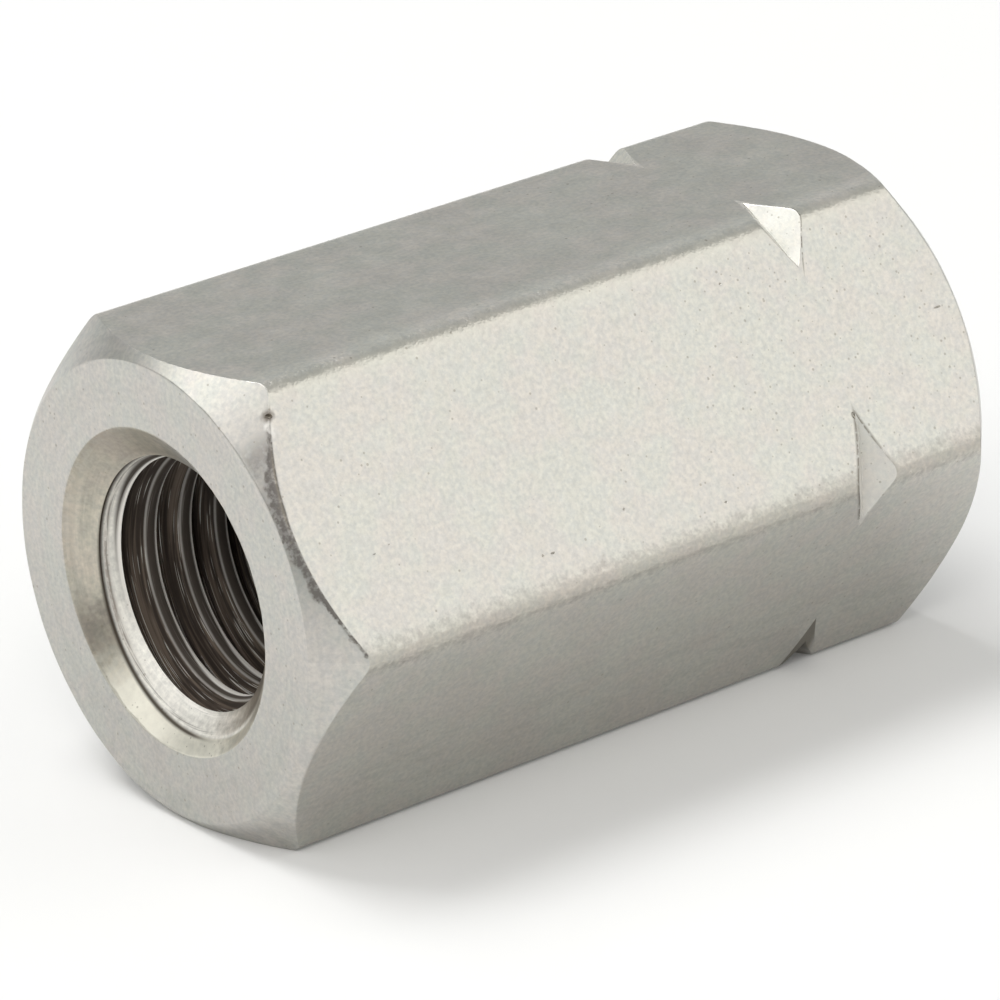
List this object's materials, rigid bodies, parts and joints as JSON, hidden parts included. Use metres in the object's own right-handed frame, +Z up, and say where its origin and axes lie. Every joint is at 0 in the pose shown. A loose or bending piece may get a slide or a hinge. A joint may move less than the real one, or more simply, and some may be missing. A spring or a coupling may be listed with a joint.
{
  "type": "coupling nut",
  "caption": "Long hexagonal nut that joins a right-hand threaded rod to a left-hand one, with a turned V mark across the corners near its left-hand end.",
  "frame": {"origin": "middle of the flat that the nut lies on, half way along its length", "axes": "+X along the thread axis towards the left-hand end, +Z up from the flat that it lies on, +Y across the corners"},
  "size_m": [0.03, 0.0194, 0.017],
  "materials": {
    "stainless_steel": "satin, tumbled after machining"
  },
  "bodies": {
    "root": {"coupling_nut": "stainless_steel"}
  },
  "joints": []
}
